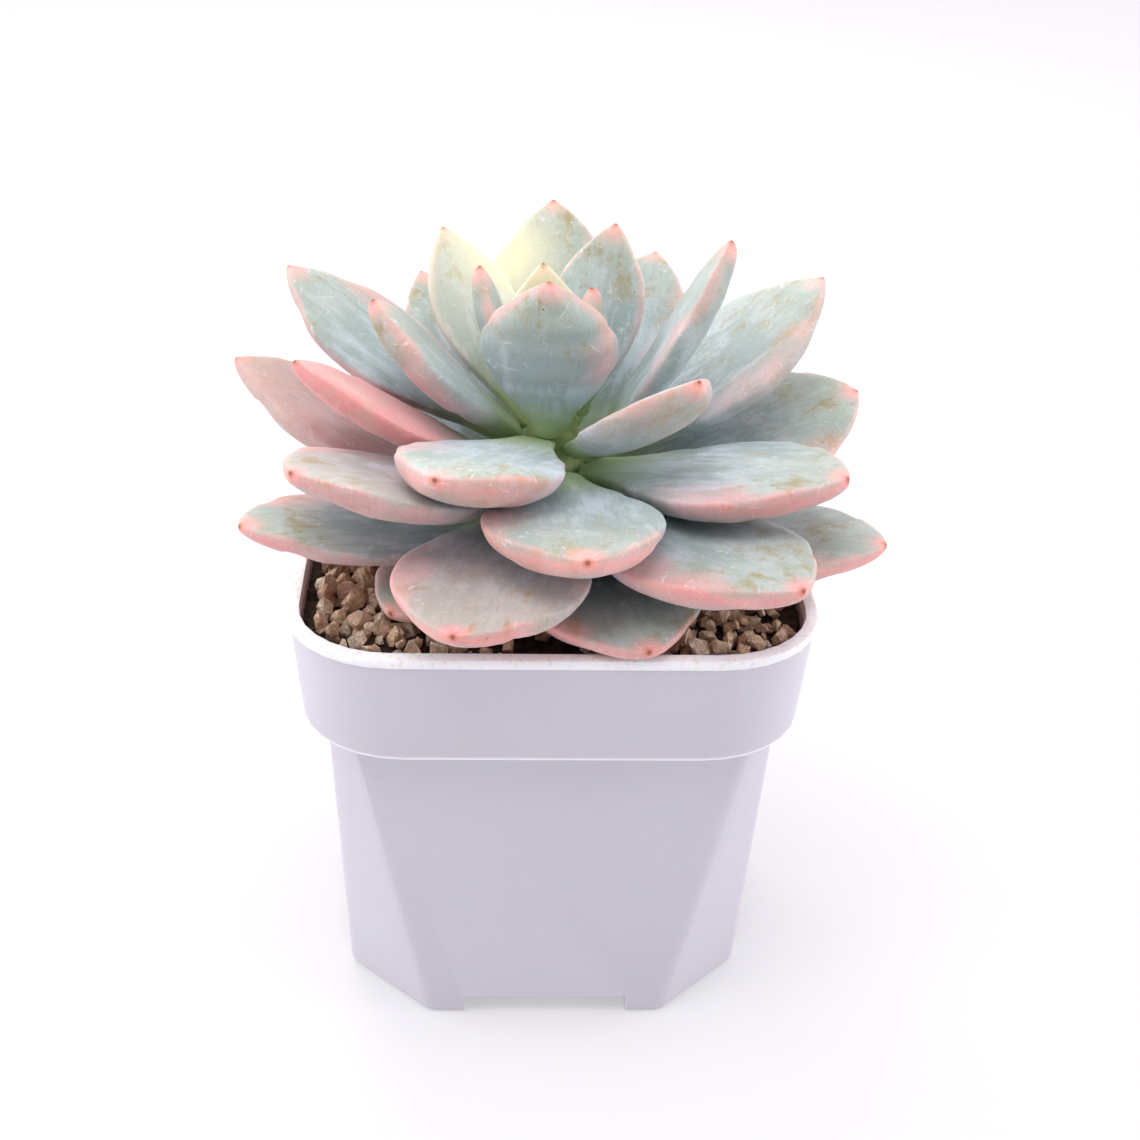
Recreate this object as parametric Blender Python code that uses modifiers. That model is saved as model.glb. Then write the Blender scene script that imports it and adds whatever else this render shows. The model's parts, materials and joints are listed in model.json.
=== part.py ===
"""A rosette succulent in a square plastic nursery pot, as separate leaves, stem, grit, potting mix and pot.

The frame has +Z up and +Y towards the back. Its origin is on the table, under the middle of the pot.
"""

import math
import random

import bmesh
import bpy
from mathutils import Matrix, Vector

# Pot: a moulded shell with a rounded collar on a body that turns from square to octagonal.
RIM_WIDTH = 0.0750
POT_HEIGHT = 0.0670
COLLAR_HEIGHT = 0.0175
COLLAR_LOW = POT_HEIGHT - COLLAR_HEIGHT
COLLAR_DRAFT = 0.0016
COLLAR_CORNER = 0.0150
LIP_HEIGHT = 0.0018
LIP_PROUD = 0.0004
LIP_ROUND = 0.0006
POT_WALL = 0.0015
BODY_TOP_WIDTH = RIM_WIDTH - 0.0109
BODY_TOP_CHAMFER = 0.0040
BODY_BASE_WIDTH = BODY_TOP_WIDTH - 0.0034
BODY_BASE_CHAMFER = 0.0127
FOOT_HEIGHT = 0.0034
FOOT_NOTCH_WIDTH = 0.0247
DRAIN_RADIUS = 0.0040
DRAIN_SPREAD = 0.0160

# Filling: potting mix up to a level below the rim, with a bed of grit on it.
FIT_GAP = 0.0003
MIX_DEPTH_BELOW_RIM = 0.0058
GRIT_THICKNESS = 0.0032
GRIT_RELIEF = 0.0004
GRIT_CELLS = 24
MIX_TOP = POT_HEIGHT - MIX_DEPTH_BELOW_RIM
GRIT_TOP = MIX_TOP + FIT_GAP + GRIT_THICKNESS

# Plant: a short stem with a domed crown, and leaves that grow out of the dome. The rosette grows
# with its crown, from the sizes that LEAVES gives for a crown of TABLE_CROWN. Its heights are taken
# from the rim, or from the grit where the grit comes up close to the lowest leaf, and a larger
# rosette stands higher by LEAF_LIFT of its growth, so that its low leaves clear the rim.
CROWN_RADIUS = 0.0052
TABLE_CROWN = 0.0052
LEAF_LIFT = 0.0080
LEAF_SCALE = CROWN_RADIUS / TABLE_CROWN
PLANT_BASE = max(POT_HEIGHT, GRIT_TOP + GRIT_RELIEF + 0.0019) + LEAF_LIFT * max(0, LEAF_SCALE - 1)
STEM_DEPTH = 0.0140
STEM_RADIUS = 0.0040
CROWN_LOW = PLANT_BASE + 0.0010 * LEAF_SCALE
CROWN_TOP = CROWN_LOW + 0.0240 * LEAF_SCALE
CROWN_SIDES = 24
LEAF_SEGMENTS = 12
LEAF_RINGS = 11
LEAF_BASE_SHARE = 0.25
LEAF_WIDEST_AT = 0.60
LEAF_POINT = 2.0
LEAF_TIP_LENGTH = 0.0009 * LEAF_SCALE

# Leaves from the lowest to the youngest: azimuth, rise at the base, bend up along the leaf and
# roll about its own length in degrees, then length, width, thickness and height above PLANT_BASE
# in millimetres.
LEAVES = [
    (231, -5, 8, 0, 31, 21, 4.2, 2.4),
    (287, -4, 4, 0, 36.5, 25, 5.0, 3.9),
    (338, 1, 12, 0, 46, 26, 5.4, 3),
    (38, -2, 14, 0, 42, 23, 5.0, 3),
    (88, -2, 14, 0, 43.5, 23, 5.0, 3),
    (140, -2, 14, 0, 42, 23, 5.0, 3),
    (207, 4, 12, 0, 44.5, 22, 4.8, 4.6),
    (254, -2, 8, 0, 45.5, 27, 6.0, 8.2),
    (307, 2, 8, 0, 48, 27, 6.4, 8.4),
    (13, 10, 14, 12, 44.5, 28, 5.6, 7.4),
    (62, 8, 14, 0, 43, 23, 5.2, 7),
    (112, 8, 14, 0, 42, 23, 5.2, 7),
    (173, 18, 14, 0, 46, 24, 5.4, 6.6),
    (221, 14, 10, 0, 44.5, 26, 5.4, 10),
    (274, 6, 6, 0, 41.5, 25, 6.6, 12.6),
    (328, 8, 8, 0, 43, 25, 6.2, 12.6),
    (20, 25, 16, 0, 46, 25, 5.4, 11.5),
    (66, 21, 16, 0, 44, 22, 5.0, 10.5),
    (118, 17, 16, 0, 42.5, 17, 5.0, 10.5),
    (157, 21, 16, 0, 44, 22, 4.6, 15.2),
    (199, 26, 12, 0, 39.5, 16, 4.6, 12),
    (246, 9, 10, 0, 37.5, 23, 6.4, 17.4),
    (308, 29, 14, 0, 32, 19, 5.2, 16.4),
    (189, 38, 14, 0, 31, 19, 5.2, 17),
    (353, 53, 14, 0, 39.5, 17, 4.8, 13.8),
    (89, 41, 14, 0, 41, 21, 4.8, 12.1),
    (60, 56, 14, 0, 31.5, 15, 4.6, 16),
    (127, 40, 14, 0, 34, 15, 4.6, 16.4),
    (263, 69, 10, 0, 27, 19.5, 5.6, 18.5),
    (177, 66, 10, 0, 23, 11.5, 3.8, 20.8),
    (8, 81, 10, 0, 20, 11.5, 3.8, 19.5),
    (99, 67, 14, 0, 22, 11.5, 3.4, 18.8),
    (215, 84, 14, 0, 7, 5, 2.2, 22),
]


def clear_scene():
    for obj in list(bpy.data.objects):
        bpy.data.objects.remove(obj)


def collection(name):
    made = bpy.data.collections.new(name)
    bpy.context.scene.collection.children.link(made)
    return made


def material(name, colour, roughness):
    made = bpy.data.materials.new(name)
    made.use_nodes = True
    shader = made.node_tree.nodes["Principled BSDF"]
    shader.inputs["Base Color"].default_value = (*colour, 1)
    shader.inputs["Roughness"].default_value = roughness
    shader.inputs["Metallic"].default_value = 0
    return made


def add_object(name, mesh_data, group, finish=None):
    obj = bpy.data.objects.new(name, mesh_data)
    group.objects.link(obj)
    if finish:
        mesh_data.materials.append(finish)
    return obj


def mesh_from(bm, name, recalculate=True):
    if recalculate:
        bmesh.ops.recalc_face_normals(bm, faces=bm.faces)
    data = bpy.data.meshes.new(name)
    bm.to_mesh(data)
    bm.free()
    return data


def as_cutter(obj):
    obj.hide_render = True
    obj.display_type = "WIRE"
    return obj


def boolean(obj, operation, other):
    modifier = obj.modifiers.new(other.name, "BOOLEAN")
    modifier.operation = operation
    modifier.object = other


def body_block(name, inset, low, high, group):
    """The body's outline, moved inwards by inset, from one height to another.

    It starts as an eight-sided cylinder whose corners go to the corners of a chamfered square.
    """

    def corners(height):
        share = height / COLLAR_LOW
        half = (BODY_BASE_WIDTH + (BODY_TOP_WIDTH - BODY_BASE_WIDTH) * share) / 2 - inset
        chamfer = BODY_BASE_CHAMFER + (BODY_TOP_CHAMFER - BODY_BASE_CHAMFER) * share
        chamfer -= inset * (2 - math.sqrt(2))
        return half, half - chamfer

    bm = bmesh.new()
    bmesh.ops.create_cone(bm, cap_ends=True, segments=8, radius1=1, radius2=1, depth=2,
                          matrix=Matrix.Rotation(math.radians(22.5), 4, "Z"))
    for vert in bm.verts:
        height = high if vert.co.z > 0 else low
        half, flat = corners(height)
        wide = abs(vert.co.x) > abs(vert.co.y)
        vert.co = Vector((math.copysign(half if wide else flat, vert.co.x),
                          math.copysign(flat if wide else half, vert.co.y), height))
    return add_object(name, mesh_from(bm, name), group)


def collar_block(name, inset, low, high, group):
    """The collar's rounded square, moved inwards by inset, with the draft of its outer face."""
    bm = bmesh.new()
    bmesh.ops.create_cube(bm, size=2)
    for vert in bm.verts:
        height = high if vert.co.z > 0 else low
        half = RIM_WIDTH / 2 - COLLAR_DRAFT * (POT_HEIGHT - height) / COLLAR_HEIGHT - inset
        vert.co = Vector((math.copysign(half, vert.co.x), math.copysign(half, vert.co.y), height))
    upright = [e for e in bm.edges if abs(e.verts[0].co.z - e.verts[1].co.z) > (high - low) / 2]
    bmesh.ops.bevel(bm, geom=upright, offset=COLLAR_CORNER - inset, offset_type="OFFSET",
                    segments=7, profile=0.5, affect="EDGES")
    return add_object(name, mesh_from(bm, name), group)


def round_block(name, radius, low, high, x, y, group, sides=24):
    bm = bmesh.new()
    bmesh.ops.create_cone(bm, cap_ends=True, segments=sides, radius1=radius, radius2=radius,
                          depth=high - low, matrix=Matrix.Translation((x, y, (low + high) / 2)))
    return add_object(name, mesh_from(bm, name), group)


def box_block(name, size, centre, group):
    bm = bmesh.new()
    bmesh.ops.create_cube(bm, size=1, matrix=Matrix.Translation(centre) @ Matrix.Diagonal((*size, 1)))
    return add_object(name, mesh_from(bm, name), group)


def pot(parts, cutters, finish):
    """A thin shell: an inner ledge follows the collar's step, and the floor stands on four feet."""
    body = body_block("pot", 0, 0, COLLAR_LOW + POT_WALL, parts)
    body.data.materials.append(finish)
    soften = body.modifiers.new("soft_edges", "BEVEL")
    soften.width = 0.0012
    soften.segments = 2
    soften.limit_method = "ANGLE"
    soften.angle_limit = math.radians(20)

    for name, proud, low in (("collar_outside", 0, COLLAR_LOW),
                             ("lip_outside", LIP_PROUD, POT_HEIGHT - LIP_HEIGHT)):
        block = as_cutter(collar_block(name, -proud, low, POT_HEIGHT, cutters))
        edge = block.modifiers.new("edge", "BEVEL")
        edge.width = LIP_ROUND
        edge.segments = 2
        edge.limit_method = "ANGLE"
        edge.angle_limit = math.radians(60)
        boolean(body, "UNION", block)

    floor = FOOT_HEIGHT + POT_WALL
    boolean(body, "DIFFERENCE", as_cutter(
        body_block("body_inside", POT_WALL, floor, COLLAR_LOW + 2 * POT_WALL, cutters)))
    boolean(body, "DIFFERENCE", as_cutter(
        collar_block("collar_inside", POT_WALL, COLLAR_LOW + POT_WALL, POT_HEIGHT + POT_WALL, cutters)))
    boolean(body, "DIFFERENCE", as_cutter(
        body_block("base_recess", 2 * POT_WALL, -POT_WALL, FOOT_HEIGHT, cutters)))
    for name, size in (("notch_across_x", (2 * RIM_WIDTH, FOOT_NOTCH_WIDTH, 2 * FOOT_HEIGHT)),
                       ("notch_across_y", (FOOT_NOTCH_WIDTH, 2 * RIM_WIDTH, 2 * FOOT_HEIGHT))):
        boolean(body, "DIFFERENCE", as_cutter(box_block(name, size, (0, 0, 0), cutters)))
    for index, (x, y) in enumerate([(0, 0), (1, 0), (0, 1), (-1, 0), (0, -1)]):
        drain = round_block(f"drain_{index}", DRAIN_RADIUS, 0, 2 * floor,
                            x * DRAIN_SPREAD, y * DRAIN_SPREAD, cutters, 16)
        boolean(body, "DIFFERENCE", as_cutter(drain))
    return body


def stem_radius(height):
    """The stem's radius at a height: straight in the mix, swelling to the crown, then a dome."""
    if height < GRIT_TOP:
        return STEM_RADIUS
    if height < CROWN_LOW:
        share = (height - GRIT_TOP) / (CROWN_LOW - GRIT_TOP)
        return STEM_RADIUS + (CROWN_RADIUS - STEM_RADIUS) * share * share * (3 - 2 * share)
    share = (height - CROWN_LOW) / (CROWN_TOP - CROWN_LOW)
    return CROWN_RADIUS * math.sqrt(max(0, 1 - share ** 2.2))


def stem(parts, finish):
    """A turned profile with a root stub that stands in the potting mix."""
    heights = [MIX_TOP - STEM_DEPTH * share for share in (0.8, 0.4)]
    heights += [MIX_TOP, GRIT_TOP, (GRIT_TOP + CROWN_LOW) / 2, CROWN_LOW]
    heights += [CROWN_LOW + (CROWN_TOP - CROWN_LOW) * share for share in (0.2, 0.4, 0.6, 0.75, 0.87, 0.95)]
    profile = [Vector((0, 0, MIX_TOP - STEM_DEPTH))]
    profile += [Vector((stem_radius(z), 0, z)) for z in heights]
    profile[1].x *= 0.6
    profile.append(Vector((0, 0, CROWN_TOP)))
    profile.reverse()

    data = bpy.data.meshes.new("stem")
    data.from_pydata(profile, [(i, i + 1) for i in range(len(profile) - 1)], [])
    obj = add_object("stem", data, parts, finish)
    turn = obj.modifiers.new("turn", "SCREW")
    turn.steps = turn.render_steps = CROWN_SIDES
    turn.use_merge_vertices = True
    turn.merge_threshold = 0.00005
    return obj


def potting_mix(parts, cutters, finish):
    """The block of mix that fills the pot below the grit, with a socket for the stem."""
    floor = FOOT_HEIGHT + POT_WALL + FIT_GAP
    inset = POT_WALL + FIT_GAP
    block = body_block("potting_mix", inset, floor, COLLAR_LOW + 2 * POT_WALL, parts)
    block.data.materials.append(finish)
    upper = as_cutter(collar_block("mix_upper", inset, COLLAR_LOW + POT_WALL + FIT_GAP, MIX_TOP, cutters))
    boolean(block, "UNION", upper)
    socket = as_cutter(round_block("stem_socket", STEM_RADIUS + FIT_GAP, MIX_TOP - STEM_DEPTH - FIT_GAP,
                                   MIX_TOP + POT_WALL, 0, 0, cutters, CROWN_SIDES))
    boolean(block, "DIFFERENCE", socket)
    return block


def grit_bed(parts, cutters, finish):
    """The loose layer of grit, as one slab with an uneven top and a hole for the stem."""
    inset = POT_WALL + FIT_GAP
    low = MIX_TOP + FIT_GAP
    slab = as_cutter(collar_block("grit_outline", inset, low - POT_WALL, POT_HEIGHT, cutters))
    bm = bmesh.new()
    bmesh.ops.create_grid(bm, x_segments=GRIT_CELLS, y_segments=GRIT_CELLS, size=RIM_WIDTH / 2 + POT_WALL)
    shake = random.Random(7)
    for vert in bm.verts:
        vert.co.z = GRIT_TOP + shake.uniform(-GRIT_RELIEF, GRIT_RELIEF)
    thick = bmesh.ops.extrude_face_region(bm, geom=bm.faces[:])
    for vert in (v for v in thick["geom"] if isinstance(v, bmesh.types.BMVert)):
        vert.co.z = low
    bed = add_object("grit_bed", mesh_from(bm, "grit_bed"), parts, finish)
    boolean(bed, "INTERSECT", slab)
    hole = as_cutter(round_block("grit_hole", STEM_RADIUS + 2 * FIT_GAP, MIX_TOP - POT_WALL, POT_HEIGHT,
                                 0, 0, cutters, CROWN_SIDES))
    boolean(bed, "DIFFERENCE", hole)
    return bed


def leaf_width(share):
    """Half-width along a leaf as a share of its widest: a narrow base, a broad blade and a pointed end."""
    if share < LEAF_WIDEST_AT:
        rise = share / LEAF_WIDEST_AT
        return LEAF_BASE_SHARE + (1 - LEAF_BASE_SHARE) * math.sin(rise * math.pi / 2) ** 2
    fall = (share - LEAF_WIDEST_AT) / (1 - LEAF_WIDEST_AT)
    return 1 - fall ** LEAF_POINT


def leaf_thickness(share):
    """Thickness along a leaf as a share of its thickest."""
    base = 0.55 + 0.45 * math.sin(min(1, share / 0.55) * math.pi / 2) ** 2
    return base * math.sqrt(1 - max(0, (share - 0.62) / 0.38) ** 2.6)


def leaf_mesh(name, length, width, thickness, bend):
    """A leaf along +X with its base at the origin, its upper face towards +Z.

    A UV sphere's poles become the base and the tip, and its rings the leaf's sections.
    """
    bm = bmesh.new()
    bmesh.ops.create_uvsphere(bm, u_segments=LEAF_SEGMENTS, v_segments=LEAF_RINGS, radius=1)
    for vert in bm.verts:
        across, up = vert.co.x, vert.co.y
        ring = math.acos(max(-1, min(1, -vert.co.z))) / math.pi
        around = math.hypot(across, up)
        share = ring ** 1.1 if ring < 1 else 1
        along = share * (length - LEAF_TIP_LENGTH)
        half = leaf_width(share) * width / 2
        deep = leaf_thickness(share) * thickness
        if around < 1e-6:
            half = deep = 0
            around = 1
            if ring > 0.5:
                along = length
        across, up = across / around, up / around
        side = math.copysign(abs(across) ** 0.8, across) * half
        # The upper face is nearly flat with a shallow trough, and the lower face is the full belly.
        lift = 0.28 * deep * up if up > 0 else 0.72 * deep * up
        lift += 0.12 * deep * across * across
        turn = math.radians(bend) * share
        vert.co = Vector((along * math.cos(turn / 2) - lift * math.sin(turn), side,
                          along * math.sin(turn / 2) + lift * math.cos(turn)))
    return mesh_from(bm, name, recalculate=False)


def leaves(parts, finish):
    """Each leaf sits on the stem's dome, FIT_GAP off it, at its own azimuth and rise."""
    made = []
    for index, (azimuth, rise, bend, roll, length, width, thickness, height) in enumerate(LEAVES, 1):
        name = f"leaf_{index:02d}"
        size = LEAF_SCALE / 1000
        data = leaf_mesh(name, length * size, width * size, thickness * size, bend)
        obj = add_object(name, data, parts, finish)
        level = PLANT_BASE + height * size
        out = stem_radius(level) + FIT_GAP
        turn = Matrix.Rotation(math.radians(azimuth), 4, "Z")
        tilt = Matrix.Rotation(-math.radians(rise), 4, "Y") @ Matrix.Rotation(math.radians(roll), 4, "X")
        obj.matrix_world = turn @ Matrix.Translation((out, 0, level)) @ tilt
        data.shade_smooth()
        made.append(obj)
    return made


def main():
    clear_scene()
    parts = collection("potted_succulent")
    cutters = collection("cutters")
    white_plastic = material("white_plastic", (0.83, 0.82, 0.85), 0.35)
    dark_mix = material("potting_mix", (0.035, 0.024, 0.018), 0.95)
    tan_grit = material("tan_grit", (0.42, 0.25, 0.14), 0.95)
    green_stem = material("stem_skin", (0.36, 0.44, 0.22), 0.6)
    leaf_skin = material("leaf_skin", (0.50, 0.60, 0.55), 0.5)

    pot(parts, cutters, white_plastic)
    stem(parts, green_stem)
    potting_mix(parts, cutters, dark_mix)
    grit_bed(parts, cutters, tan_grit)
    leaves(parts, leaf_skin)


main()
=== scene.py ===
import json
import math
import random

import bmesh
import bpy
import numpy as np
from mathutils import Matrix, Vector, noise

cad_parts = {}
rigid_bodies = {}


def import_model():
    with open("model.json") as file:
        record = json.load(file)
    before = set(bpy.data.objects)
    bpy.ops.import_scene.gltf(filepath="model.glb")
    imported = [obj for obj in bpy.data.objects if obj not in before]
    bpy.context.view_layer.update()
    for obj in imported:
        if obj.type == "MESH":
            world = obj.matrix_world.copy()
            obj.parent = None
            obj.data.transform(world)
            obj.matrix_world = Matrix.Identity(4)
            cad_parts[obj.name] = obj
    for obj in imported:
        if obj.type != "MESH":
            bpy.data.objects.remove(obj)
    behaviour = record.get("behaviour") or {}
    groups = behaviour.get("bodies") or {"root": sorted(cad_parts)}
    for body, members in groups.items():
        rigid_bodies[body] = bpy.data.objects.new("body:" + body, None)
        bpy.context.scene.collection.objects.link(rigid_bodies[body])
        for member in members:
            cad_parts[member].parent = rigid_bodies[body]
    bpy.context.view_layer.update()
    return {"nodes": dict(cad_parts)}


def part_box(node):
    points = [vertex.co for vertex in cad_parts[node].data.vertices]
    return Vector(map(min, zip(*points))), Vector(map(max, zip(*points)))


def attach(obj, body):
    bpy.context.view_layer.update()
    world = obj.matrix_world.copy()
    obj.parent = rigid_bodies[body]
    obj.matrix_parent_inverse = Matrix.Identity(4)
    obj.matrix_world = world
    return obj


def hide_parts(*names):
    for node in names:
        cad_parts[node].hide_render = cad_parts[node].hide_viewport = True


for leftover in list(bpy.data.objects):
    bpy.data.objects.remove(leftover)
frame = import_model()
nodes = frame["nodes"]
print("frame loaded:", len(nodes), "CAD nodes")


def hexColour(code):
    # an sRGB hex value as the linear colour that the shader wants
    parts = [int(code[i:i + 2], 16) / 255 for i in (1, 3, 5)]
    return [c / 12.92 if c <= 0.04045 else ((c + 0.055) / 1.055) ** 2.4 for c in parts] + [1.0]


def addNode(tree, kind, inputs=None, **settings):
    # one node, with its settings, its values and its incoming links
    node = tree.nodes.new(kind)
    for name, value in settings.items():
        setattr(node, name, value)
    for key, value in (inputs or {}).items():
        if isinstance(value, bpy.types.NodeSocket):
            tree.links.new(value, node.inputs[key])
        else:
            node.inputs[key].default_value = value
    return node


def newMaterial(name, **shaderInputs):
    material = bpy.data.materials.new(name)
    material.use_nodes = True
    tree = material.node_tree
    shader = tree.nodes["Principled BSDF"]
    for key, value in shaderInputs.items():
        shader.inputs[key.replace("_", " ")].default_value = value
    return material, tree, shader


def mixColours(tree, factor, a, b, blend="MIX"):
    return addNode(tree, "ShaderNodeMix", {0: factor, 6: a, 7: b},
                   data_type="RGBA", blend_type=blend).outputs[2]


def maths(tree, operation, a, b=0.0, clamp=False):
    return addNode(tree, "ShaderNodeMath", {0: a, 1: b}, operation=operation, use_clamp=clamp).outputs[0]


def ramp(tree, value, low, high, toLow=0.0, toHigh=1.0):
    # a smooth step from one value to another
    return addNode(tree, "ShaderNodeMapRange",
                   {"Value": value, "From Min": low, "From Max": high, "To Min": toLow, "To Max": toHigh},
                   interpolation_type="SMOOTHSTEP").outputs[0]


def patches(tree, where, sizeMm, detail=4.0, roughness=0.55, seed=0.0):
    return addNode(tree, "ShaderNodeTexNoise",
                   {"Vector": where, "Scale": 1000 / sizeMm, "Detail": detail, "Roughness": roughness,
                    "W": seed},
                   noise_dimensions="4D").outputs[0]


def spots(tree, where, spacingMm, radiusMm, share, seed=0.0):
    # round spots, in only some of the cells of a random grid
    cells = addNode(tree, "ShaderNodeTexVoronoi",
                    {"Vector": where, "Scale": 1000 / spacingMm, "W": seed}, voronoi_dimensions="4D")
    inside = ramp(tree, cells.outputs["Distance"], radiusMm / spacingMm, 0.6 * radiusMm / spacingMm)
    chosen = addNode(tree, "ShaderNodeSeparateColor", {0: cells.outputs["Color"]}).outputs[0]
    return maths(tree, "MULTIPLY", inside, maths(tree, "LESS_THAN", chosen, share))


def attribute(tree, name):
    return addNode(tree, "ShaderNodeAttribute", attribute_name=name).outputs["Fac"]


def finishPiece(obj, slotName, *replaced):
    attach(obj, "root")
    if replaced:
        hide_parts(*replaced)


def pieceFromMesh(mesh, name, material):
    mesh.materials.clear()
    mesh.materials.append(material)
    obj = bpy.data.objects.new(name, mesh)
    bpy.context.scene.collection.objects.link(obj)
    return obj


view = {
    "place": (-0.01064, -0.27172, 0.20299),
    "turn": (62.448, -1.605, -2.101),  # degrees
    "lens": 63.16,
}
camera = bpy.data.objects.new("camera", bpy.data.cameras.new("camera"))
camera.data.lens = view["lens"]
camera.data.sensor_width = 36
camera.data.clip_start = 0.01
camera.location = view["place"]
camera.rotation_euler = [math.radians(a) for a in view["turn"]]
bpy.context.scene.collection.objects.link(camera)
bpy.context.scene.camera = camera

studio = {
    "tint": "#FBF8FF", "front": 0.02, "sides": 2.95, "back": 0.85, "top": 0.50,
    "floor": "#B2B0B4", "floorSize": 6.0, "floorGlow": 0.37,
}


def lightTent():
    # a white tent round the table: bright walls, back and roof, and a dark opening on the viewer's side
    world = bpy.data.worlds.new("lightTent")
    bpy.context.scene.world = world
    world.use_nodes = True
    tree = world.node_tree
    direction = addNode(tree, "ShaderNodeTexCoord").outputs["Generated"]
    x, y, z = addNode(tree, "ShaderNodeSeparateXYZ", {0: direction}).outputs
    aside = ramp(tree, maths(tree, "ABSOLUTE", x), 0.45, 0.95, 0.0, studio["sides"])
    behind = ramp(tree, y, -0.10, 0.60, 0.0, studio["back"])
    roof = ramp(tree, z, 0.30, 0.90, 0.0, studio["top"])
    wall = maths(tree, "MAXIMUM", aside, behind)
    strength = maths(tree, "ADD", maths(tree, "ADD", wall, roof), studio["front"])
    background = tree.nodes["Background"]
    background.inputs["Color"].default_value = hexColour(studio["tint"])
    tree.links.new(strength, background.inputs["Strength"])


lightTent()
bpy.context.scene.view_settings.view_transform = "Standard"

# size and place in metres, power in watts, aimed at the rosette
lights = {
    "lampBehind": {"place": (-0.16, 0.55, 0.42), "size": 0.35, "power": 1.6, "colour": "#FFFBEF"},
    "lampAbove": {"place": (-0.08, -0.22, 0.72), "size": 0.40, "power": 2.4, "colour": "#FFFFFF"},
}
aim = Vector((0, 0, 0.08))
for name, spec in lights.items():
    lamp = bpy.data.lights.new(name, "AREA")
    lamp.size = spec["size"]
    lamp.energy = spec["power"]
    lamp.color = hexColour(spec["colour"])[:3]
    holder = bpy.data.objects.new(name, lamp)
    holder.location = spec["place"]
    holder.rotation_euler = (aim - Vector(spec["place"])).to_track_quat("-Z", "Y").to_euler()
    bpy.context.scene.collection.objects.link(holder)

# painted board: matt white, so it falls away to a plain pale ground
floorPaint, _, _ = newMaterial("mattWhiteBoard", Base_Color=hexColour(studio["floor"]), Roughness=0.9,
                               Emission_Color=hexColour("#FFFFFF"), Emission_Strength=studio["floorGlow"])
floorMesh = bpy.data.meshes.new("floor")
half = studio["floorSize"] / 2
floorCorners = [(-half, -half, 0), (half, -half, 0), (half, half, 0), (-half, half, 0)]
floorMesh.from_pydata(floorCorners, [], [(0, 1, 2, 3)])
floor = pieceFromMesh(floorMesh, "floor", floorPaint)
print("camera, floor and lights placed")


leafLook = {
    "bloom": "#C2CFD8",       # wax over blue-green flesh
    "flesh": "#9CABAB",
    "sage": "#A3AC98",
    "base": "#A4BC7C",
    "olive": "#9A9270",
    "peach": "#EFB9AC",
    "blush": "#EC9896",
    "rust": "#B8694A",
    "tip": "#84412C",
    "paleGrowthAndGlow": "#FCF6CE",
    "speck": "#3C3228",
    "scar": "#9A6650",
    "powder": "#EEF2F3",
}


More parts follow.
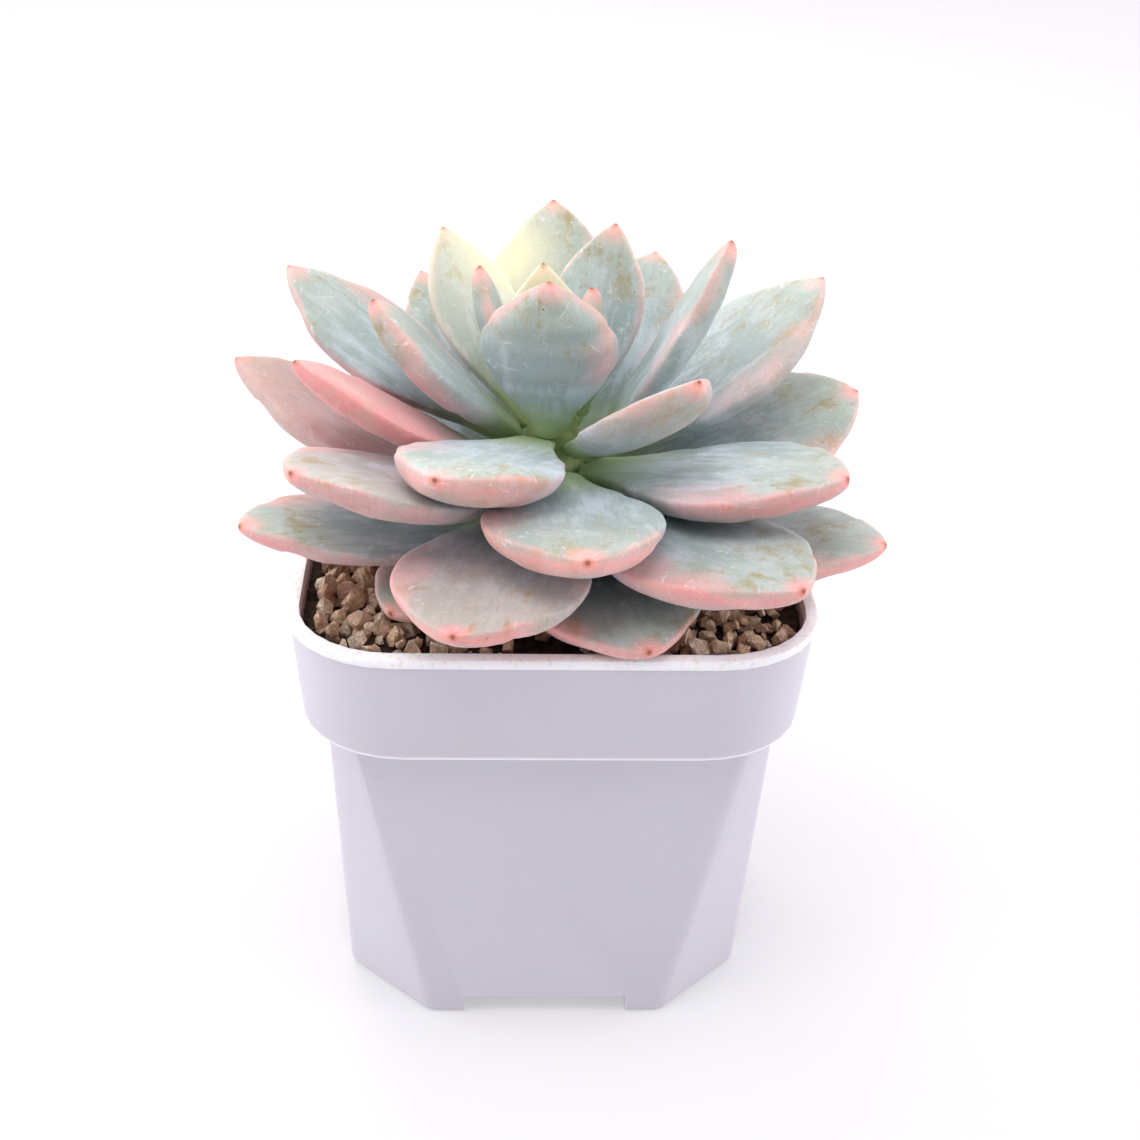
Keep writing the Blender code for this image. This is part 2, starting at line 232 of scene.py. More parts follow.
def leafSkin():
    # succulent leaf: water-filled flesh under a powdery wax, so it is soft, matt and slightly translucent
    material, tree, shader = newMaterial(
        "waxyLeafSkin", Roughness=0.55, IOR=1.42, Subsurface_Weight=0.35, Subsurface_Scale=0.0035,
        Subsurface_Radius=(1.0, 0.72, 0.55), Sheen_Weight=0.12, Sheen_Roughness=0.5)
    where = addNode(tree, "ShaderNodeTexCoord").outputs["Object"]
    edge, along, skirt = attribute(tree, "edge"), attribute(tree, "along"), attribute(tree, "skirt")
    blush, warm, shift = attribute(tree, "blush"), attribute(tree, "warm"), attribute(tree, "shift")
    toTip, acrossMm, alongMm = (attribute(tree, key) for key in ("toTip", "acrossMm", "alongMm"))
    c = {key: hexColour(value) for key, value in leafLook.items()}

    def strongly(value, factor):
        return maths(tree, "MULTIPLY", value, factor)

    broad = patches(tree, where, 8, 3)
    fine = patches(tree, where, 1.2, 6, 0.7, 3.0)
    grain = patches(tree, where, 0.35, 3, 0.6, 8.0)

    # wax lies in streaks down the blade and wears through to the flesh in patches
    down = addNode(tree, "ShaderNodeCombineXYZ",
                   {0: acrossMm, 1: strongly(alongMm, 0.22), 2: strongly(shift, 90.0)})
    streak = addNode(tree, "ShaderNodeTexNoise", {"Vector": down.outputs[0], "Scale": 0.55, "Detail": 6.0,
                                                  "Roughness": 0.68}).outputs[0]
    wax = ramp(tree, maths(tree, "ADD", strongly(broad, 0.7), strongly(streak, 0.9)), 0.66, 0.94)
    # a leaf's shift takes off some wax at random; on the leaves listed for painted shade it takes off more,
    # so they come out darker: painted shade
    wax = maths(tree, "SUBTRACT", wax, strongly(shift, 0.25), clamp=True)
    colour = mixColours(tree, wax, c["flesh"], c["bloom"])
    greener = maths(tree, "ADD", along, strongly(maths(tree, "SUBTRACT", broad, 0.5), 0.6))
    colour = mixColours(tree, ramp(tree, greener, 0.55, 0.92, 0.0, 0.55), colour, c["sage"])
    foot = ramp(tree, along, 0.42, 0.04)
    colour = mixColours(tree, strongly(foot, 0.85), colour, c["base"])

    # olive smudges where the bloom was rubbed, mostly towards the tip
    smudge = patches(tree, where, 4.5, 6, 0.72, 5.0)
    smudge = ramp(tree, maths(tree, "ADD", strongly(smudge, 0.6), strongly(streak, 0.4)), 0.49, 0.62)
    smudge = maths(tree, "MULTIPLY", smudge, ramp(tree, along, 0.35, 0.85, 0.0, 1.0))
    colour = mixColours(tree, smudge, colour, c["olive"])

    # sun blush: along the margins, down the thick front edge, at the tip, and all over the reddest leaves
    reach = maths(tree, "ADD", edge, strongly(maths(tree, "SUBTRACT", broad, 0.5), 0.5))
    margin = maths(tree, "MULTIPLY", ramp(tree, reach, 0.74, 1.12, 0.0, 0.62), ramp(tree, along, 0.15, 0.70))
    front = maths(tree, "MULTIPLY", skirt, ramp(tree, along, 0.30, 0.72, 0.0, 0.9))
    end = ramp(tree, maths(tree, "ADD", toTip, strongly(broad, 4.0)), 6.5, 2.0)
    allOver = maths(tree, "MULTIPLY", ramp(tree, blush, 0.60, 1.0, 0.0, 0.85), ramp(tree, along, 0.10, 0.50))
    pink = maths(tree, "MAXIMUM", maths(tree, "MAXIMUM", margin, front), maths(tree, "MAXIMUM", end, allOver))
    pink = maths(tree, "MULTIPLY", pink, ramp(tree, fine, 0.15, 0.55, 0.70, 1.0))
    rosy = maths(tree, "MULTIPLY", blush, ramp(tree, broad, 0.30, 0.60, 0.5, 1.9), clamp=True)
    rosy = mixColours(tree, rosy, c["peach"], c["blush"])
    uneven = ramp(tree, patches(tree, where, 3.5, 5, 0.65, 21.0), 0.30, 0.55, 0.75, 1.0)
    pink = maths(tree, "MULTIPLY", pink, uneven)
    colour = mixColours(tree, pink, colour, rosy)

    # the youngest growth is a pale yellow-green; the pale spot near the crown is also a painted glow of light
    # shining through from behind
    colour = mixColours(tree, strongly(warm, 0.85), colour, c["paleGrowthAndGlow"])

    # white powder left in scuffs and in thin curling scratches
    scuff = ramp(tree, patches(tree, where, 2.2, 7, 0.8, 12.0), 0.60, 0.74)
    line = maths(tree, "ABSOLUTE", maths(tree, "SUBTRACT", patches(tree, where, 6.0, 1.5, 0.5, 15.0), 0.5))
    line = maths(tree, "MULTIPLY", ramp(tree, line, 0.010, 0.003), ramp(tree, fine, 0.48, 0.60))
    powder = maths(tree, "MAXIMUM", strongly(scuff, 0.28), strongly(line, 0.35))
    powder = maths(tree, "MULTIPLY", powder, ramp(tree, along, 0.15, 0.4))
    colour = mixColours(tree, powder, colour, c["powder"])

    # rusty end and the hard dark point
    colour = mixColours(tree, strongly(ramp(tree, toTip, 1.2, 0.4), 0.55), colour, c["rust"])
    colour = mixColours(tree, strongly(ramp(tree, toTip, 0.5, 0.25), 0.8), colour, c["tip"])

    # old scars, and specks of grit that stuck to the wax
    scars = spots(tree, where, 8.0, 0.60, 0.16, 4.0)
    colour = mixColours(tree, strongly(scars, 0.55), colour, c["scar"])
    smallSpecks, largeSpecks = spots(tree, where, 2.4, 0.16, 0.34), spots(tree, where, 6.0, 0.30, 0.26, 7.0)
    specks = maths(tree, "MAXIMUM", smallSpecks, largeSpecks)
    colour = mixColours(tree, strongly(specks, 0.8), colour, c["speck"])

    # fine light and dark mottling of the powder
    mottle = mixColours(tree, grain, hexColour("#4F5A52"), hexColour("#FFFFFF"))
    colour = mixColours(tree, 0.35, colour, mottle, "SOFT_LIGHT")
    tree.links.new(colour, shader.inputs["Base Color"])
    tree.links.new(maths(tree, "ADD", strongly(grain, 0.25), 0.40), shader.inputs["Roughness"])
    height = maths(tree, "ADD", fine, strongly(grain, 0.35))
    bump = addNode(tree, "ShaderNodeBump", {"Height": height, "Strength": 0.35, "Distance": 0.00025})
    tree.links.new(bump.outputs[0], shader.inputs["Normal"])
    return material


leafShape = {
    "columns": 4,       # new points between two points round a CAD section
    "rows": 4,          # new rows between two CAD sections
    "endRows": 14,      # rows that close the blade after the last CAD section
    "widestAt": 0.60, "point": 2.0,      # how the blade's width closes to a point
    "thinsFrom": 0.62, "blunt": 2.6,     # and its thickness
    "fullLow": 0.74, "fullHigh": 0.90,   # how full the end is, on low leaves and on rising ones
    "pointRadius": 0.00028,
    "pointShare": 0.985,
    "swell": 0.00012,   # slow unevenness of the flesh
    "swellSize": 0.007,
    "skirtFall": 0.6,   # how fast the blush of the front edge fades towards its middle
}
# a pale spot near the crown: the young growth's own paler colour, and a painted glow of the light behind
youngGrowthAndGlow = {"centre": (-0.007, 0.024, 0.104), "radius": 0.0075, "strength": 1.1}
leafTints = {  # leaf number: (blush, pale yellow)
    1: (0.10, 0), 2: (0.55, 0), 3: (0.40, 0), 7: (0.60, 0), 8: (0.72, 0), 9: (0.60, 0), 10: (0.35, 0),
    13: (0.80, 0), 14: (0.70, 0), 15: (0.45, 0), 16: (0.58, 0), 17: (0.20, 0), 18: (0.15, 0),
    19: (0.62, 0), 20: (0.35, 0), 21: (1.00, 0), 22: (0.45, 0), 23: (0.45, 0), 24: (0.40, 0),
    25: (0.45, 0), 26: (0.10, 0), 27: (0.15, 0), 28: (0.15, 0.25), 29: (0.45, 0), 30: (0.35, 0),
    31: (0.30, 0), 32: (0.10, 0.7), 33: (0.10, 0.9),
    "paintedShade": (23, 24, 29, 30, 31),  # leaves painted darker, with less wax and more flesh: painted shade
}


def splineRows(grid, steps, closed):
    # a Catmull-Rom spline through the rows of an array
    count = len(grid)
    rows = []
    for i in range(count if closed else count - 1):
        if closed:
            a, b, c, d = (grid[(i + k) % count] for k in (-1, 0, 1, 2))
        else:
            a, b, c, d = (grid[min(max(i + k, 0), count - 1)] for k in (-1, 0, 1, 2))
        for step in range(steps):
            t = step / steps
            rows.append(0.5 * (2 * b + (c - a) * t + (2 * a - 5 * b + 4 * c - d) * t ** 2
                               + (3 * b - a - 3 * c + d) * t ** 3))
    if not closed:
        rows.append(grid[-1])
    return np.array(rows)


def leafSections(node, crown):
    # the CAD leaf's sections from base to tip, each starting at the same margin, and the leaf's axes
    shell = bmesh.new()
    shell.from_mesh(node.data)
    bmesh.ops.remove_doubles(shell, verts=shell.verts, dist=1e-6)
    ends = sorted(shell.verts, key=lambda v: -len(v.link_edges))[:2]
    ends.sort(key=lambda v: (v.co - crown).length)
    rings, seen = [[ends[0]]], {ends[0]}
    while True:
        ring = {e.other_vert(v) for v in rings[-1] for e in v.link_edges} - seen
        if not ring:
            break
        seen |= ring
        rings.append(list(ring))
    rings = [np.array([v.co for v in ring]) for ring in rings]
    shell.free()
    base, tip, middle = rings[0][0], rings[-1][0], rings[1:-1]
    spans = [np.linalg.norm(r[:, None] - r[None], axis=2) for r in middle]
    widest = max(range(len(middle)), key=lambda k: spans[k].max())
    i, j = np.unravel_index(spans[widest].argmax(), spans[widest].shape)
    side = middle[widest][i] - middle[widest][j]
    side /= np.linalg.norm(side)
    ahead = tip - base
    inward = np.array([-ahead[0], -ahead[1], 0.0])
    inward = inward / max(np.linalg.norm(inward), 1e-9) + np.array([0, 0, 1.0])
    if np.cross(ahead, side) @ inward < 0:
        side = -side
    centres = [base] + [0.5 * (r[(r @ side).argmax()] + r[(r @ side).argmin()]) for r in middle] + [tip]
    ordered = []
    for k, ring in enumerate(middle, 1):
        along = centres[k + 1] - centres[k - 1]
        up = np.cross(along / np.linalg.norm(along), side)
        local = ring - centres[k]
        angle = np.arctan2(local @ up, local @ side)
        ordered.append(ring[np.argsort((angle + math.pi / len(ring)) % (2 * math.pi))])
    return base, ordered, tip, centres, side


def leafMesh(name, node, crown, number):
    base, ordered, tip, centres, side = leafSections(node, crown)
    spec, count = leafShape, len(ordered)
    shares = [(k / (count + 1)) ** 1.1 for k in range(count + 1)] + [1.0]
    sections = [np.array(ring) for ring in ordered]
    around = [splineRows(ring, spec["columns"], True) for ring in sections]
    body = splineRows(np.array(around), spec["rows"], False)
    bodyShares = list(splineRows(np.array(shares[1:-1]), spec["rows"], False))
    rows, along = [], []
    first, firstCentre = body[0], centres[1]
    for part in (0.35, 0.7, 0.9):  # the cut-off foot of the leaf is domed
        scale = math.sqrt(1 - (1 - part) ** 2)
        rows.append(base + (firstCentre - base) * part + (first - firstCentre) * scale)
        along.append(shares[1] * part)
    rows += list(body)
    along += bodyShares
    last, lastCentre, lastShare = body[-1], centres[-2], shares[-2]

    def closing(share):
        fall = max(0, share - spec["widestAt"]) / (1 - spec["widestAt"])
        thin = max(0, share - spec["thinsFrom"]) / (1 - spec["thinsFrom"])
        return 1 - fall ** spec["point"], math.sqrt(max(0, 1 - thin ** spec["blunt"]))

    radial = last - lastCentre
    across = np.outer(radial @ side, side)
    through = radial - across
    lastWide, lastThick = closing(lastShare)
    for step in range(1, spec["endRows"]):
        part = math.sin(step / spec["endRows"] * math.pi / 2)
        share = lastShare + (1 - lastShare) * part
        wide, thick = closing(share)
        offset = across * (wide / lastWide) + through * (thick / lastThick)
        reach = np.linalg.norm(offset, axis=1)
        point = spec["pointRadius"] * min(1.0, (1 - share) / (1 - spec["pointShare"]))
        offset *= (np.maximum(reach, point) / np.maximum(reach, 1e-9))[:, None]
        rows.append(lastCentre + (tip - lastCentre) * part + offset)
        along.append(share)
    rows = np.array(rows)
    rowCount, columnCount = rows.shape[:2]

    # the blade is fuller towards its end than the CAD leaf's few sections show
    power = spec["fullLow"] if (tip - base)[2] < 0.35 * np.linalg.norm(tip - base) else spec["fullHigh"]
    for r, share in enumerate(along):
        fall = max(0, share - spec["widestAt"]) / (1 - spec["widestAt"])
        if 0 < fall < 1:
            wide = max((1 - fall ** 2.3) ** power, 1 - fall ** spec["point"]) / (1 - fall ** spec["point"])
            middle = rows[r].mean(axis=0)
            rows[r] += np.outer((rows[r] - middle) @ side, side) * (min(wide, 2.2) - 1)
    flat = rows.reshape(-1, 3)
    points = np.vstack([flat, base, tip])
    baseIndex, tipIndex = len(flat), len(flat) + 1
    faces = []
    for r in range(rowCount - 1):
        for c in range(columnCount):
            d = (c + 1) % columnCount
            faces.append((r * columnCount + c, r * columnCount + d,
                          (r + 1) * columnCount + d, (r + 1) * columnCount + c))
    for c in range(columnCount):
        d = (c + 1) % columnCount
        faces.append((baseIndex, d, c))
        faces.append((tipIndex, (rowCount - 1) * columnCount + c, (rowCount - 1) * columnCount + d))
    mesh = bpy.data.meshes.new(name)
    mesh.from_pydata([tuple(p) for p in points], [], faces)
    mesh.update()

    # how far each point is towards a margin, along the leaf, and down its thick front edge
    angle = np.arange(columnCount) / columnCount * 2 * math.pi
    edge = np.abs(np.cos(angle))
    ahead = (tip - base) / np.linalg.norm(tip - base)
    level = min(1.0, max(0.0, 1.25 - 1.7 * ahead[2]))
    skirt = level * np.clip(-np.sin(angle) * 3, 0, 1) * edge ** spec["skirtFall"]
    draw = random.Random(number * 7 + 3)
    blush, warm = leafTints.get(number, (draw.uniform(0.1, 0.6), 0.0))
    fromYoung = np.linalg.norm(points - np.array(youngGrowthAndGlow["centre"]), axis=1)
    near = np.exp(-(fromYoung / youngGrowthAndGlow["radius"]) ** 2)
    values = {
        "edge": np.append(np.tile(edge, rowCount), [0, 1]),
        "skirt": np.append(np.tile(skirt, rowCount), [0, 0.5]),
        "along": np.append(np.repeat(along, columnCount), [0, 1]),
        "toTip": np.linalg.norm(points - tip, axis=1) * 1000,
        "acrossMm": (points - base) @ side * 1000,
        "alongMm": (points - base) @ ahead * 1000,
        "blush": np.full(len(points), blush),
        # a listed leaf gets a large shift, so less wax and a darker colour: painted shade
        "shift": np.full(len(points), 1.6 if number in leafTints["paintedShade"] else draw.uniform(0, 1)),
        "warm": np.clip(near * youngGrowthAndGlow["strength"] + warm, 0, 1),
    }

    # slow swellings, so that no leaf is a perfect form
    normals = np.array([v.normal for v in mesh.vertices])
    wave = np.array([noise.noise(Vector(p) / spec["swellSize"] + Vector((number, 0, 0))) for p in points])
    fade = np.clip(values["along"] * 4, 0, 1) * np.clip((1 - values["along"]) * 8, 0, 1)
    points = points + normals * (wave * fade * spec["swell"])[:, None]
    mesh.vertices.foreach_set("co", points.ravel())
    for key, value in values.items():
        mesh.attributes.new(key, "FLOAT", "POINT").data.foreach_set("value", value.astype(np.float32))
    mesh.polygons.foreach_set("use_smooth", [True] * len(mesh.polygons))
    mesh.update()
    return mesh


waxySkin = leafSkin()
crown = Vector((0, 0, (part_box("stem")[1][2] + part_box("grit_bed")[1][2]) / 2))
leafNodes = sorted(name for name in nodes if name.startswith("leaf_"))
for number, name in enumerate(leafNodes, 1):
    mesh = leafMesh(f"rosetteLeaf{number:02d}", nodes[name], crown, number)
    leaf = pieceFromMesh(mesh, f"rosetteLeaf{number:02d}", waxySkin)
    finishPiece(leaf, "leaf_skin", name)
print("leaves made:", len(leafNodes))


stemLook = {"green": "#B4C48C", "brown": "#98A06C"}


def stemSkin():
    # young green stem with brown leaf scars, smooth and a little waxy
    material, tree, shader = newMaterial("greenStemSkin", Roughness=0.6, IOR=1.42)
    where = addNode(tree, "ShaderNodeTexCoord").outputs["Object"]
    mottled = ramp(tree, patches(tree, where, 2.5, 4), 0.4, 0.7)
    colour = mixColours(tree, mottled, hexColour(stemLook["green"]), hexColour(stemLook["brown"]))
    tree.links.new(colour, shader.inputs["Base Color"])
    bump = addNode(tree, "ShaderNodeBump", {"Height": patches(tree, where, 0.8, 4), "Strength": 0.4,
                                            "Distance": 0.0003})
    tree.links.new(bump.outputs[0], shader.inputs["Normal"])
    return material


def smoothCopy(node, name, material, sharpAngle=35):
    # a CAD solid's merged copy, smooth across its facets and sharp at its real edges
    shell = bmesh.new()
    shell.from_mesh(node.data)
    bmesh.ops.remove_doubles(shell, verts=shell.verts, dist=1e-6)
    bmesh.ops.dissolve_limit(shell, angle_limit=math.radians(0.5), verts=shell.verts, edges=shell.edges)
    for face in shell.faces:
        face.smooth = True
    for edge in shell.edges:
        edge.smooth = not (edge.is_manifold and edge.calc_face_angle() > math.radians(sharpAngle))
    mesh = bpy.data.meshes.new(name)
    shell.to_mesh(mesh)
    shell.free()
    return pieceFromMesh(mesh, name, material)


stem = smoothCopy(nodes["stem"], "stemAndCrown", stemSkin())
finishPiece(stem, "stem_skin", "stem")


potLook = {
    # edge is the colour of the painted highlight on the lip and on the collar's lower edge
    "white": "#CFCCD5", "shade": "#C9C6CF", "edge": "#F6F5F8", "dust": "#C09A70", "dirt": "#4E3E32",
    "lipBand": 0.0019, "step": 0.0497,      # the lip's depth, and the height of the collar's lower edge
    "bevel": 0.00035, "bevelAngle": 40, "sharpAngle": 42,
}


def whitePlastic(rimHeight):
    # injection-moulded polypropylene: an even satin white, faintly translucent, dusted and flecked with use
    material, tree, shader = newMaterial(
        "mouldedPolypropylene", Roughness=0.38, IOR=1.49, Subsurface_Weight=0.20, Subsurface_Scale=0.003)
    where = addNode(tree, "ShaderNodeTexCoord").outputs["Object"]
    height = addNode(tree, "ShaderNodeSeparateXYZ", {0: where}).outputs[2]
    cloudy = patches(tree, where, 18, 3)
    colour = mixColours(tree, cloudy, hexColour(potLook["white"]), hexColour(potLook["shade"]))
    # painted highlight: the lip band and the collar's lower edge are painted whiter, where they catch the
    # light
    lip = ramp(tree, height, rimHeight - potLook["lipBand"], rimHeight - 0.0004)
    fromStep = maths(tree, "ABSOLUTE", maths(tree, "SUBTRACT", height, potLook["step"]))
    step = ramp(tree, fromStep, 0.0007, 0.0001)
    colour = mixColours(tree, maths(tree, "MAXIMUM", ramp(tree, lip, 0.0, 0.15), step), colour,
                        hexColour(potLook["edge"]))
    powder = ramp(tree, patches(tree, where, 0.8, 5, 0.7, 2.0), 0.50, 0.72)
    dusting = maths(tree, "MULTIPLY", maths(tree, "MULTIPLY", lip, powder), 0.45)
    colour = mixColours(tree, dusting, colour, hexColour(potLook["dust"]))
    smallFlecks, largeFlecks = spots(tree, where, 3.2, 0.16, 0.40), spots(tree, where, 8.0, 0.34, 0.30, 6.0)
    flecks = maths(tree, "MAXIMUM", smallFlecks, largeFlecks)
    flecks = maths(tree, "MULTIPLY", flecks, ramp(tree, patches(tree, where, 14, 2, 0.5, 9.0), 0.50, 0.58))
    colour = mixColours(tree, maths(tree, "MULTIPLY", flecks, 0.75), colour, hexColour(potLook["dirt"]))
    tree.links.new(colour, shader.inputs["Base Color"])
    moulding = patches(tree, where, 0.5, 3)
    roughness = maths(tree, "ADD", maths(tree, "MULTIPLY", moulding, 0.16), 0.32)
    tree.links.new(roughness, shader.inputs["Roughness"])
    bump = addNode(tree, "ShaderNodeBump", {"Height": moulding, "Strength": 0.10, "Distance": 0.0001})
    tree.links.new(bump.outputs[0], shader.inputs["Normal"])
    return material


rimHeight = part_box("pot")[1][2]
pot = smoothCopy(nodes["pot"], "nurseryPot", whitePlastic(rimHeight), potLook["sharpAngle"])
softEdge = pot.modifiers.new("softEdge", "BEVEL")
softEdge.width = potLook["bevel"]
softEdge.segments = 2
softEdge.limit_method = "ANGLE"
softEdge.angle_limit = math.radians(potLook["bevelAngle"])
softEdge.harden_normals = True
finishPiece(pot, "white_plastic", "pot")
print("pot made")


mixLook = {"dark": "#2C211A", "brown": "#5A4230", "fibre": "#8C6A48"}


def darkMix():
    # damp peat and bark: near black, rough, with paler fibres and crumbs
    material, tree, shader = newMaterial("dampPeat", Roughness=0.95)
    where = addNode(tree, "ShaderNodeTexCoord").outputs["Object"]
    crumbs = patches(tree, where, 1.5, 6, 0.7)
    colour = mixColours(tree, ramp(tree, crumbs, 0.40, 0.72), hexColour(mixLook["dark"]),
                        hexColour(mixLook["brown"]))
    colour = mixColours(tree, ramp(tree, patches(tree, where, 0.5, 4, 0.6, 3.0), 0.62, 0.72), colour,
                        hexColour(mixLook["fibre"]))
    tree.links.new(colour, shader.inputs["Base Color"])
    bump = addNode(tree, "ShaderNodeBump", {"Height": crumbs, "Strength": 0.9, "Distance": 0.001})
    tree.links.new(bump.outputs[0], shader.inputs["Normal"])
    return material


peat = darkMix()
nodes["potting_mix"].data.materials[0] = peat

gritLook = {
    "tan": "#F8CFA8", "pale": "#FFEED6", "umber": "#C99C74", "rose": "#F0BC9C",
    "crumbHeight": 0.0009, "crumbSize": 0.0030, "cells": 110,
    "spacing": 0.00215, "upperSpacing": 0.0027, "size": 0.00162, "spread": 0.42,
    "bareRadius": 0.0042, "holeRadius": 0.0045, "cornerRadius": 0.0135, "mixHeight": 0.0025,
    "patchCells": 60, "patchMargin": 0.0013, "patchLift": 0.0004, "kinds": 9, "seed": 11,
    "barePlace": (-0.004, -0.024), "bareSize": (0.010, 0.006), "bareShare": 0.93,
}
gritLow, gritHigh = (Vector(v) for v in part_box("grit_bed"))


def insideBed(x, y, margin):
    # is the point inside the rounded square of the bed, less a margin
    half, corner = gritHigh[0] - margin, gritLook["cornerRadius"] - margin
    dx, dy = abs(x) - (half - corner), abs(y) - (half - corner)
    if dx <= 0 or dy <= 0:
        return max(abs(x), abs(y)) <= half
    return math.hypot(dx, dy) <= corner


def bedHeight(x, y):
    # crumbled top of the mix, a little lower at the front where the grit has rolled away
    p = Vector((x, y, 0)) / gritLook["crumbSize"]
    lumps = noise.fractal(p, 0.9, 2.1, 4)
    slow = noise.noise(Vector((x, y, 3)) / 0.016)
    bare = bareness(x, y)
    return gritLow[2] + gritLook["mixHeight"] + gritLook["crumbHeight"] * (lumps + 0.8 * slow) - 0.0004 * bare


def bareness(x, y):
    # 1 where the dark mix shows, at the middle of the front
    (placeX, placeY), (sizeX, sizeY) = gritLook["barePlace"], gritLook["bareSize"]
    sideways = math.exp(-((x - placeX) / sizeX) ** 2)
    return sideways * (1 if y < placeY else math.exp(-((y - placeY) / sizeY) ** 2))


def bedGrid(bm, cells, margin, holeRadius, lift):
    # a sheet over the bed, round the stem, as squares that follow its height; gives each point and its place
    grid, placed = {}, []
    for i in range(cells + 1):
        for j in range(cells + 1):
            x, y = (i / cells * 2 - 1) * gritHigh[0], (j / cells * 2 - 1) * gritHigh[0]
            if insideBed(x, y, margin) and math.hypot(x, y) > holeRadius:
                grid[i, j] = bm.verts.new((x, y, bedHeight(x, y) + lift))
                placed.append((grid[i, j], x, y))
    for i in range(cells):
        for j in range(cells):
            corners = [grid.get(k) for k in ((i, j), (i + 1, j), (i + 1, j + 1), (i, j + 1))]
            if all(corners):
                bm.faces.new(corners)
    return placed


def settleOrder(elements, place):
    # an extrusion leaves its points and faces in an order that changes from run to run
    for order, element in enumerate(sorted(elements, key=place)):
        element.index = order
    elements.sort()


def mixSurface():
    # the crumbled top of the mix, with a wall down to the bed's underside
    bm = bmesh.new()
    bedGrid(bm, gritLook["cells"], 0.0, gritLook["holeRadius"], 0.0)
    top = list(bm.faces)
    wall = bmesh.ops.extrude_face_region(bm, geom=top)
    for v in (g for g in wall["geom"] if isinstance(g, bmesh.types.BMVert)):
        v.co.z = gritLow[2] + 0.0001
    bmesh.ops.recalc_face_normals(bm, faces=bm.faces)
    for face in bm.faces:
        face.smooth = True
    settleOrder(bm.verts, lambda v: tuple(v.co))
    settleOrder(bm.faces, lambda f: tuple(f.calc_center_median()))
    mesh = bpy.data.meshes.new("mixSurface")
    bm.to_mesh(mesh)
    bm.free()
    return mesh


mixTop = pieceFromMesh(mixSurface(), "mixSurface", peat)
finishPiece(mixTop, "potting_mix", "grit_bed")


def porousGrit():
    # low-fired clay and pumice: dry, dull and pitted, each grain its own tan
    material, tree, shader = newMaterial("firedClayGrit", Roughness=0.93)
    where = addNode(tree, "ShaderNodeTexCoord").outputs["Object"]
    tone, hue = attribute(tree, "tone"), attribute(tree, "hue")
    colour = mixColours(tree, tone, hexColour(gritLook["tan"]), hexColour(gritLook["pale"]))
    colour = mixColours(tree, ramp(tree, hue, 0.55, 1.0, 0.0, 0.7), colour, hexColour(gritLook["rose"]))
    pits = ramp(tree, patches(tree, where, 0.45, 5, 0.7), 0.56, 0.40)
    colour = mixColours(tree, maths(tree, "MULTIPLY", pits, 0.45), colour, hexColour(gritLook["umber"]))
    tree.links.new(colour, shader.inputs["Base Color"])
    grainy = maths(tree, "ADD", patches(tree, where, 0.9, 6, 0.75, 2.0), maths(tree, "MULTIPLY", pits, -0.4))
    bump = addNode(tree, "ShaderNodeBump", {"Height": grainy, "Strength": 0.9, "Distance": 0.0006})
    tree.links.new(bump.outputs[0], shader.inputs["Normal"])
    return material


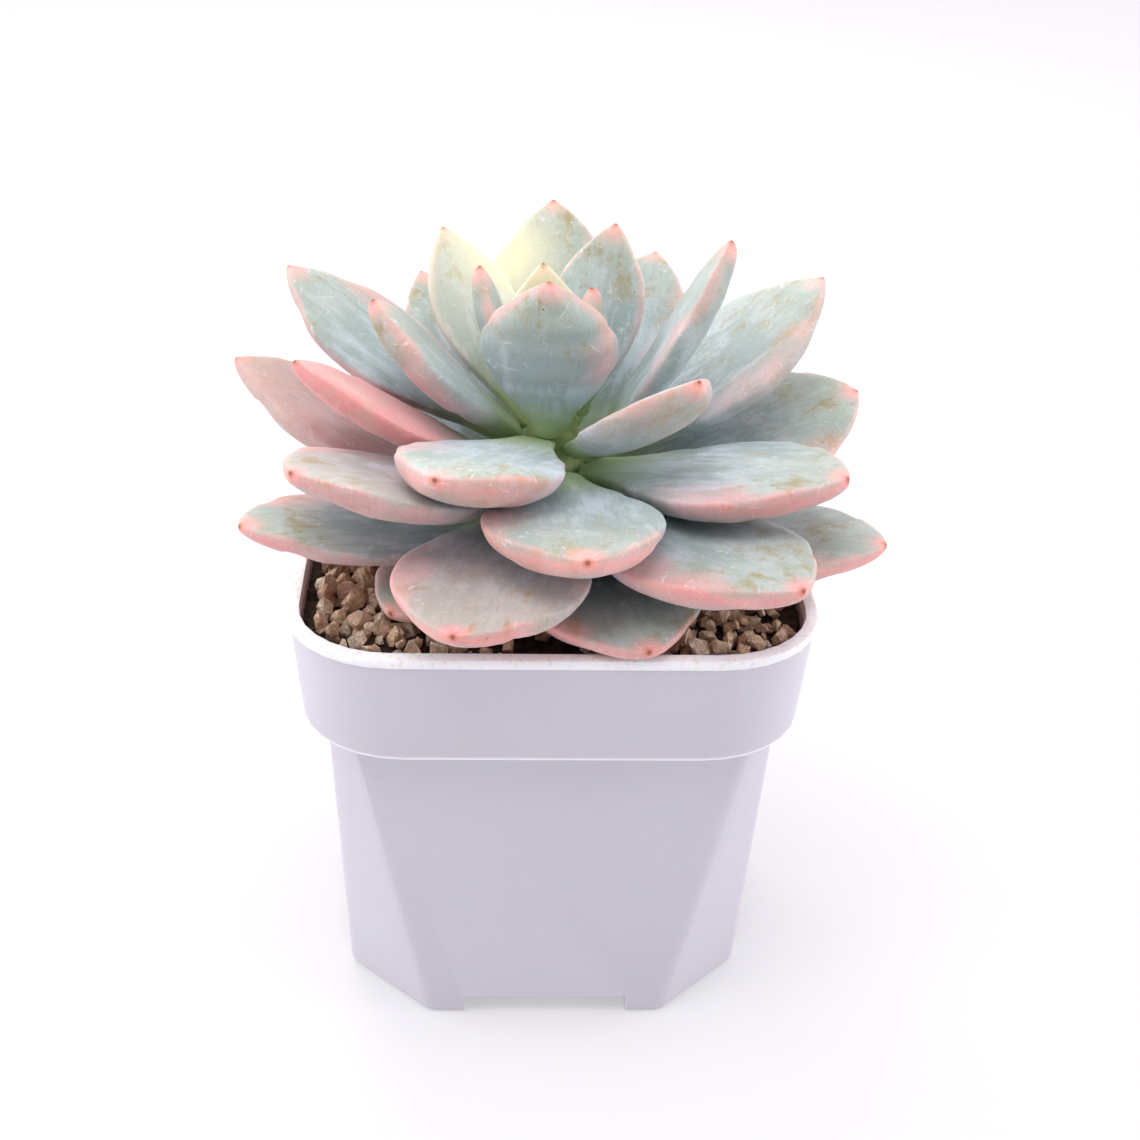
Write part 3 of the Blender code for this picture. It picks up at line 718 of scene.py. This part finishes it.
def gritTree(material):
    # grains are hulls of random points, scattered in two layers and made real
    tree = bpy.data.node_groups.new("scatterGrit", "GeometryNodeTree")
    face = tree.interface
    face.new_socket("Bed", in_out="INPUT", socket_type="NodeSocketGeometry")
    for name, kind in (("Spacing", "NodeSocketFloat"), ("Upper Spacing", "NodeSocketFloat"),
                       ("Grain Radius", "NodeSocketFloat"), ("Size Spread", "NodeSocketFloat"),
                       ("Seed", "NodeSocketInt")):
        face.new_socket(name, in_out="INPUT", socket_type=kind)
    face.new_socket("Grit", in_out="OUTPUT", socket_type="NodeSocketGeometry")
    into = addNode(tree, "NodeGroupInput").outputs
    shapes = []
    for kind in range(gritLook["kinds"]):
        direction = addNode(tree, "FunctionNodeRandomValue",
                            {0: (-1, -1, -1), 1: (1, 1, 1), "Seed": 40 + kind},
                            data_type="FLOAT_VECTOR").outputs[0]
        unit = addNode(tree, "ShaderNodeVectorMath", {0: direction}, operation="NORMALIZE").outputs[0]
        squash = (1.0, 0.72 + 0.03 * kind, 0.60 + 0.035 * kind)
        place = addNode(tree, "ShaderNodeVectorMath", {0: unit, 1: squash}, operation="MULTIPLY").outputs[0]
        cloud = addNode(tree, "GeometryNodePoints", {"Count": 13, "Position": place}).outputs[0]
        hull = addNode(tree, "GeometryNodeConvexHull", {0: cloud}).outputs[0]
        shapes.append(addNode(tree, "GeometryNodeGeometryToInstance", {0: hull}).outputs[0])
    kinds = addNode(tree, "GeometryNodeJoinGeometry")
    for shape in shapes:
        tree.links.new(shape, kinds.inputs[0])
    layers = []
    for layer, (spacing, lift) in enumerate((("Spacing", 0.0002), ("Upper Spacing", 0.0017))):
        seed = maths(tree, "ADD", into["Seed"], float(layer * 17))
        cover = addNode(tree, "GeometryNodeInputNamedAttribute", {"Name": "cover"},
                        data_type="FLOAT").outputs[0]
        dots = addNode(tree, "GeometryNodeDistributePointsOnFaces",
                       {"Mesh": into["Bed"], "Distance Min": into[spacing], "Density Max": 900000.0,
                        "Density Factor": cover, "Seed": seed}, distribute_method="POISSON")
        turn = addNode(tree, "FunctionNodeRandomValue", {0: (0, 0, 0), 1: (6.28, 6.28, 6.28), "Seed": seed},
                       data_type="FLOAT_VECTOR").outputs[0]
        small = maths(tree, "SUBTRACT", 1.0, into["Size Spread"])
        large = maths(tree, "ADD", 1.0, into["Size Spread"])
        size = addNode(tree, "FunctionNodeRandomValue",
                       {2: small, 3: large, "Seed": maths(tree, "ADD", seed, 5.0)},
                       data_type="FLOAT").outputs[1]
        size = maths(tree, "MULTIPLY", size, into["Grain Radius"])
        pick = addNode(tree, "FunctionNodeRandomValue", {4: 0, 5: len(shapes) - 1, "Seed": seed},
                       data_type="INT").outputs[2]
        drift = addNode(tree, "FunctionNodeRandomValue", {0: (0, 0, lift - 0.0003), 1: (0, 0, lift + 0.0003),
                                                          "Seed": maths(tree, "ADD", seed, 9.0)},
                        data_type="FLOAT_VECTOR").outputs[0]
        raised = addNode(tree, "GeometryNodeSetPosition",
                         {"Geometry": dots.outputs[0], "Offset": drift}).outputs[0]
        grains = addNode(tree, "GeometryNodeInstanceOnPoints",
                         {"Points": raised, "Instance": kinds.outputs[0], "Pick Instance": True,
                          "Instance Index": pick, "Rotation": turn, "Scale": size}).outputs[0]
        for name, extra in (("tone", 21.0), ("hue", 33.0)):
            value = addNode(tree, "FunctionNodeRandomValue",
                            {2: 0.0, 3: 1.0, "Seed": maths(tree, "ADD", seed, extra)},
                            data_type="FLOAT").outputs[1]
            grains = addNode(tree, "GeometryNodeStoreNamedAttribute",
                             {"Geometry": grains, "Name": name, "Value": value},
                             data_type="FLOAT", domain="INSTANCE").outputs[0]
        layers.append(grains)
    both = addNode(tree, "GeometryNodeJoinGeometry")
    for grains in layers:
        tree.links.new(grains, both.inputs[0])
    real = addNode(tree, "GeometryNodeRealizeInstances", {0: both.outputs[0]}).outputs[0]
    done = addNode(tree, "GeometryNodeSetMaterial", {"Geometry": real, "Material": material}).outputs[0]
    addNode(tree, "NodeGroupOutput", {0: done})
    return tree


def gritPatch():
    # the sheet that grains are dropped on, with how thickly they lie
    bm = bmesh.new()
    cover = bm.verts.layers.float.new("cover")
    placed = bedGrid(bm, gritLook["patchCells"], gritLook["patchMargin"], gritLook["bareRadius"],
                     gritLook["patchLift"])
    for vert, x, y in placed:
        vert[cover] = 1 - gritLook["bareShare"] * bareness(x, y)
    mesh = bpy.data.meshes.new("gritPatch")
    bm.to_mesh(mesh)
    bm.free()
    return mesh


def setInput(modifier, name, value):
    # a modifier's input, by its socket's identifier
    socket = next(s for s in modifier.node_group.interface.items_tree
                  if s.item_type == "SOCKET" and s.in_out == "INPUT" and s.name == name)
    modifier[socket.identifier] = value


clayGrit = porousGrit()
patch = pieceFromMesh(gritPatch(), "gritPatch", clayGrit)
scatter = patch.modifiers.new("scatter", "NODES")
scatter.node_group = gritTree(clayGrit)
setInput(scatter, "Spacing", gritLook["spacing"])
setInput(scatter, "Upper Spacing", gritLook["upperSpacing"])
setInput(scatter, "Grain Radius", gritLook["size"])
setInput(scatter, "Size Spread", gritLook["spread"])
setInput(scatter, "Seed", gritLook["seed"])
graph = bpy.context.evaluated_depsgraph_get()
gritMesh = bpy.data.meshes.new_from_object(patch.evaluated_get(graph))
bpy.data.objects.remove(patch)
grit = bpy.data.objects.new("looseGrit", gritMesh)
bpy.context.scene.collection.objects.link(grit)
finishPiece(grit, "tan_grit", "grit_bed")
print("grit made:", len(gritMesh.polygons), "faces")
